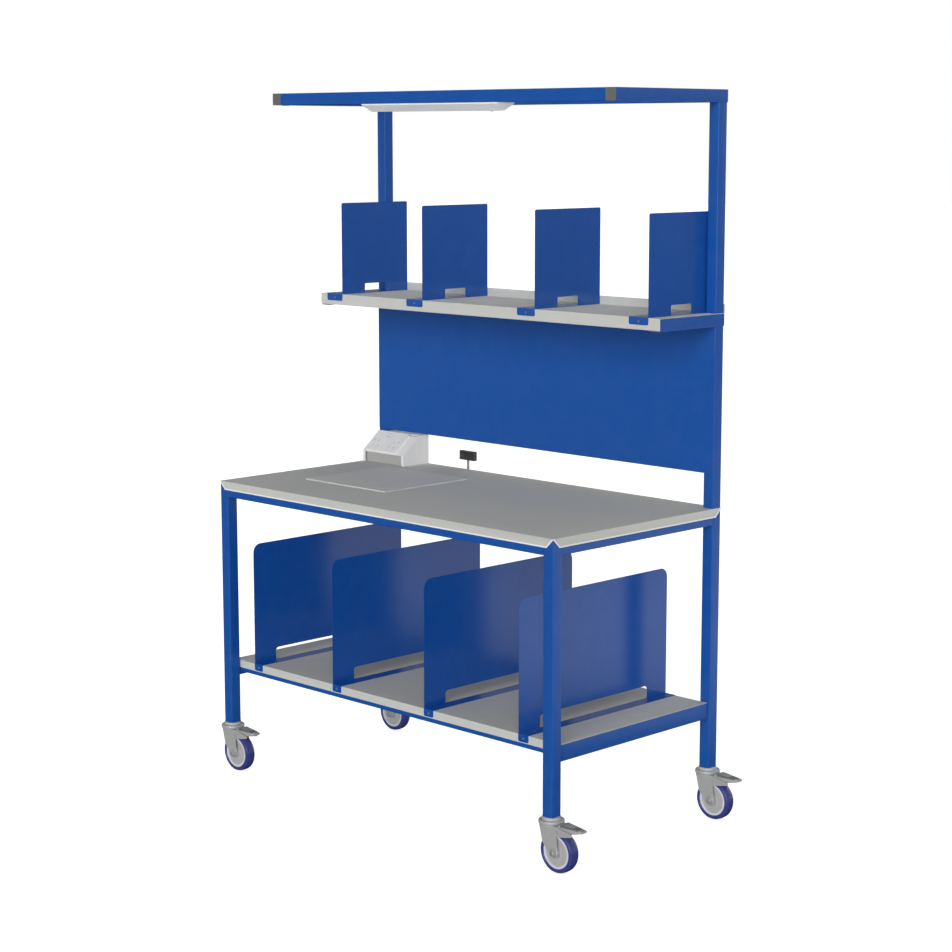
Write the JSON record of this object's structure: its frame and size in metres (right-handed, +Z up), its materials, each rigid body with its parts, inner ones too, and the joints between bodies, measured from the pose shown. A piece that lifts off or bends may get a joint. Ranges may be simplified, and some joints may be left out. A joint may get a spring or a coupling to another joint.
{
  "type": "mobile packing table",
  "caption": "Mobile packing table with braked castors, lower and upper shelves with dividers, rear panel, lamp canopy, scale and power socket.",
  "frame": {"origin": "on the floor, in the middle of the whole table's outline, castors and brake pedals included", "axes": "+X along the table to the user's right, +Y from the user to the rear, +Z up; the castors trail towards +X"},
  "size_m": [1.6304, 0.7848, 2.23],
  "materials": {
    "frame_paint": "semi-gloss powder coat",
    "divider_paint": "glossy powder coat",
    "sheet_paint": "satin powder coat",
    "light_paint": "satin powder coat",
    "scale_steel": "fine brushed",
    "galvanised": "galvanised sheet",
    "cell_aluminium": "milled",
    "zinc_plate": "bright zinc plate",
    "dark_steel": "satin black",
    "display_plastic": "fine grained",
    "cap_plastic": "fine grained",
    "collar_plastic": "satin",
    "core_plastic": "satin",
    "switch_plastic": "gloss",
    "opal_cover": "opal",
    "tyre_blue": "cast polyurethane"
  },
  "bodies": {
    "table": {"leg_front_left": "frame_paint", "leg_front_right": "frame_paint", "leg_rear_left": "frame_paint", "leg_rear_right": "frame_paint", "top_rails": "frame_paint", "shelf_frame": "frame_paint", "shelf_mast_left": "frame_paint", "shelf_mast_right": "frame_paint", "canopy_mast_left": "frame_paint", "canopy_mast_right": "frame_paint", "canopy_beam": "frame_paint", "worktop": "sheet_paint", "lower_shelf": "sheet_paint", "upper_shelf": "sheet_paint", "back_panel": "frame_paint", "lower_divider_1": "divider_paint", "lower_divider_2": "divider_paint", "lower_divider_3": "divider_paint", "lower_divider_4": "divider_paint", "upper_divider_1": "divider_paint", "upper_divider_2": "divider_paint", "upper_divider_3": "divider_paint", "upper_divider_4": "divider_paint", "divider_screws": "zinc_plate", "scale_platform": "scale_steel", "scale_pan": "galvanised", "scale_load_cell": "cell_aluminium", "display_pole": "dark_steel", "lamp_tray": "light_paint", "lamp_cover": "opal_cover", "lamp_board": "cell_aluminium", "socket_console": "light_paint", "socket_plate": "switch_plastic", "tube_end_caps": "cap_plastic", "castor_collars": "collar_plastic", "castor_heads": "zinc_plate"},
    "display_case": {"display_head": "display_plastic"},
    "lamp_button": {"lamp_switch": "switch_plastic"},
    "left_rocker": {"rocker_left": "switch_plastic"},
    "right_rocker": {"rocker_right": "switch_plastic"},
    "swivel_front_left": {"fork_front_left": "zinc_plate", "axle_front_left": "zinc_plate"},
    "wheel_front_left": {"wheel_core_front_left": "core_plastic", "tyre_front_left": "tyre_blue"},
    "pedal_front_left": {"brake_pedal_front_left": "zinc_plate"},
    "swivel_front_right": {"fork_front_right": "zinc_plate", "axle_front_right": "zinc_plate"},
    "wheel_front_right": {"wheel_core_front_right": "core_plastic", "tyre_front_right": "tyre_blue"},
    "pedal_front_right": {"brake_pedal_front_right": "zinc_plate"},
    "swivel_rear_left": {"fork_rear_left": "zinc_plate", "axle_rear_left": "zinc_plate"},
    "wheel_rear_left": {"wheel_core_rear_left": "core_plastic", "tyre_rear_left": "tyre_blue"},
    "pedal_rear_left": {"brake_pedal_rear_left": "zinc_plate"},
    "swivel_rear_right": {"fork_rear_right": "zinc_plate", "axle_rear_right": "zinc_plate"},
    "wheel_rear_right": {"wheel_core_rear_right": "core_plastic", "tyre_rear_right": "tyre_blue"},
    "pedal_rear_right": {"brake_pedal_rear_right": "zinc_plate"}
  },
  "joints": [
    {"name": "display_turn", "type": "hinge", "parent": "table", "child": "display_case", "pos_m": [-0.404, 0.384, 1.02], "axis": [0, 0, 1], "range_deg": [-60, 60]},
    {"name": "lamp_push", "type": "slide", "parent": "table", "child": "lamp_button", "axis": [0, 0, 1], "range_m": [0, 0.0015], "stiffness_N_per_m": 400},
    {"name": "left_rocker_tilt", "type": "hinge", "parent": "table", "child": "left_rocker", "pos_m": [-0.71675, 0.30893, 1.06061], "axis": [1, 0, 0], "range_deg": [0, 12]},
    {"name": "right_rocker_tilt", "type": "hinge", "parent": "table", "child": "right_rocker", "pos_m": [-0.69775, 0.30893, 1.06061], "axis": [1, 0, 0], "range_deg": [0, 12]},
    {"name": "castor_swivel_front_left", "type": "hinge", "parent": "table", "child": "swivel_front_left", "pos_m": [-0.77675, -0.354, 0.14], "axis": [0, 0, 1], "continuous": true},
    {"name": "wheel_roll_front_left", "type": "hinge", "parent": "swivel_front_left", "child": "wheel_front_left", "pos_m": [-0.74475, -0.354, 0.0625], "axis": [0, 1, 0], "continuous": true},
    {"name": "brake_press_front_left", "type": "hinge", "parent": "swivel_front_left", "child": "pedal_front_left", "pos_m": [-0.73575, -0.354, 0.125], "axis": [0, 1, 0], "range_deg": [0, 9]},
    {"name": "castor_swivel_front_right", "type": "hinge", "parent": "table", "child": "swivel_front_right", "pos_m": [0.68125, -0.354, 0.14], "axis": [0, 0, 1], "continuous": true},
    {"name": "wheel_roll_front_right", "type": "hinge", "parent": "swivel_front_right", "child": "wheel_front_right", "pos_m": [0.71325, -0.354, 0.0625], "axis": [0, 1, 0], "continuous": true},
    {"name": "brake_press_front_right", "type": "hinge", "parent": "swivel_front_right", "child": "pedal_front_right", "pos_m": [0.72225, -0.354, 0.125], "axis": [0, 1, 0], "range_deg": [0, 9]},
    {"name": "castor_swivel_rear_left", "type": "hinge", "parent": "table", "child": "swivel_rear_left", "pos_m": [-0.77675, 0.354, 0.14], "axis": [0, 0, 1], "continuous": true},
    {"name": "wheel_roll_rear_left", "type": "hinge", "parent": "swivel_rear_left", "child": "wheel_rear_left", "pos_m": [-0.74475, 0.354, 0.0625], "axis": [0, 1, 0], "continuous": true},
    {"name": "brake_press_rear_left", "type": "hinge", "parent": "swivel_rear_left", "child": "pedal_rear_left", "pos_m": [-0.73575, 0.354, 0.125], "axis": [0, 1, 0], "range_deg": [0, 9]},
    {"name": "castor_swivel_rear_right", "type": "hinge", "parent": "table", "child": "swivel_rear_right", "pos_m": [0.68125, 0.354, 0.14], "axis": [0, 0, 1], "continuous": true},
    {"name": "wheel_roll_rear_right", "type": "hinge", "parent": "swivel_rear_right", "child": "wheel_rear_right", "pos_m": [0.71325, 0.354, 0.0625], "axis": [0, 1, 0], "continuous": true},
    {"name": "brake_press_rear_right", "type": "hinge", "parent": "swivel_rear_right", "child": "pedal_rear_right", "pos_m": [0.72225, 0.354, 0.125], "axis": [0, 1, 0], "range_deg": [0, 9]}
  ]
}
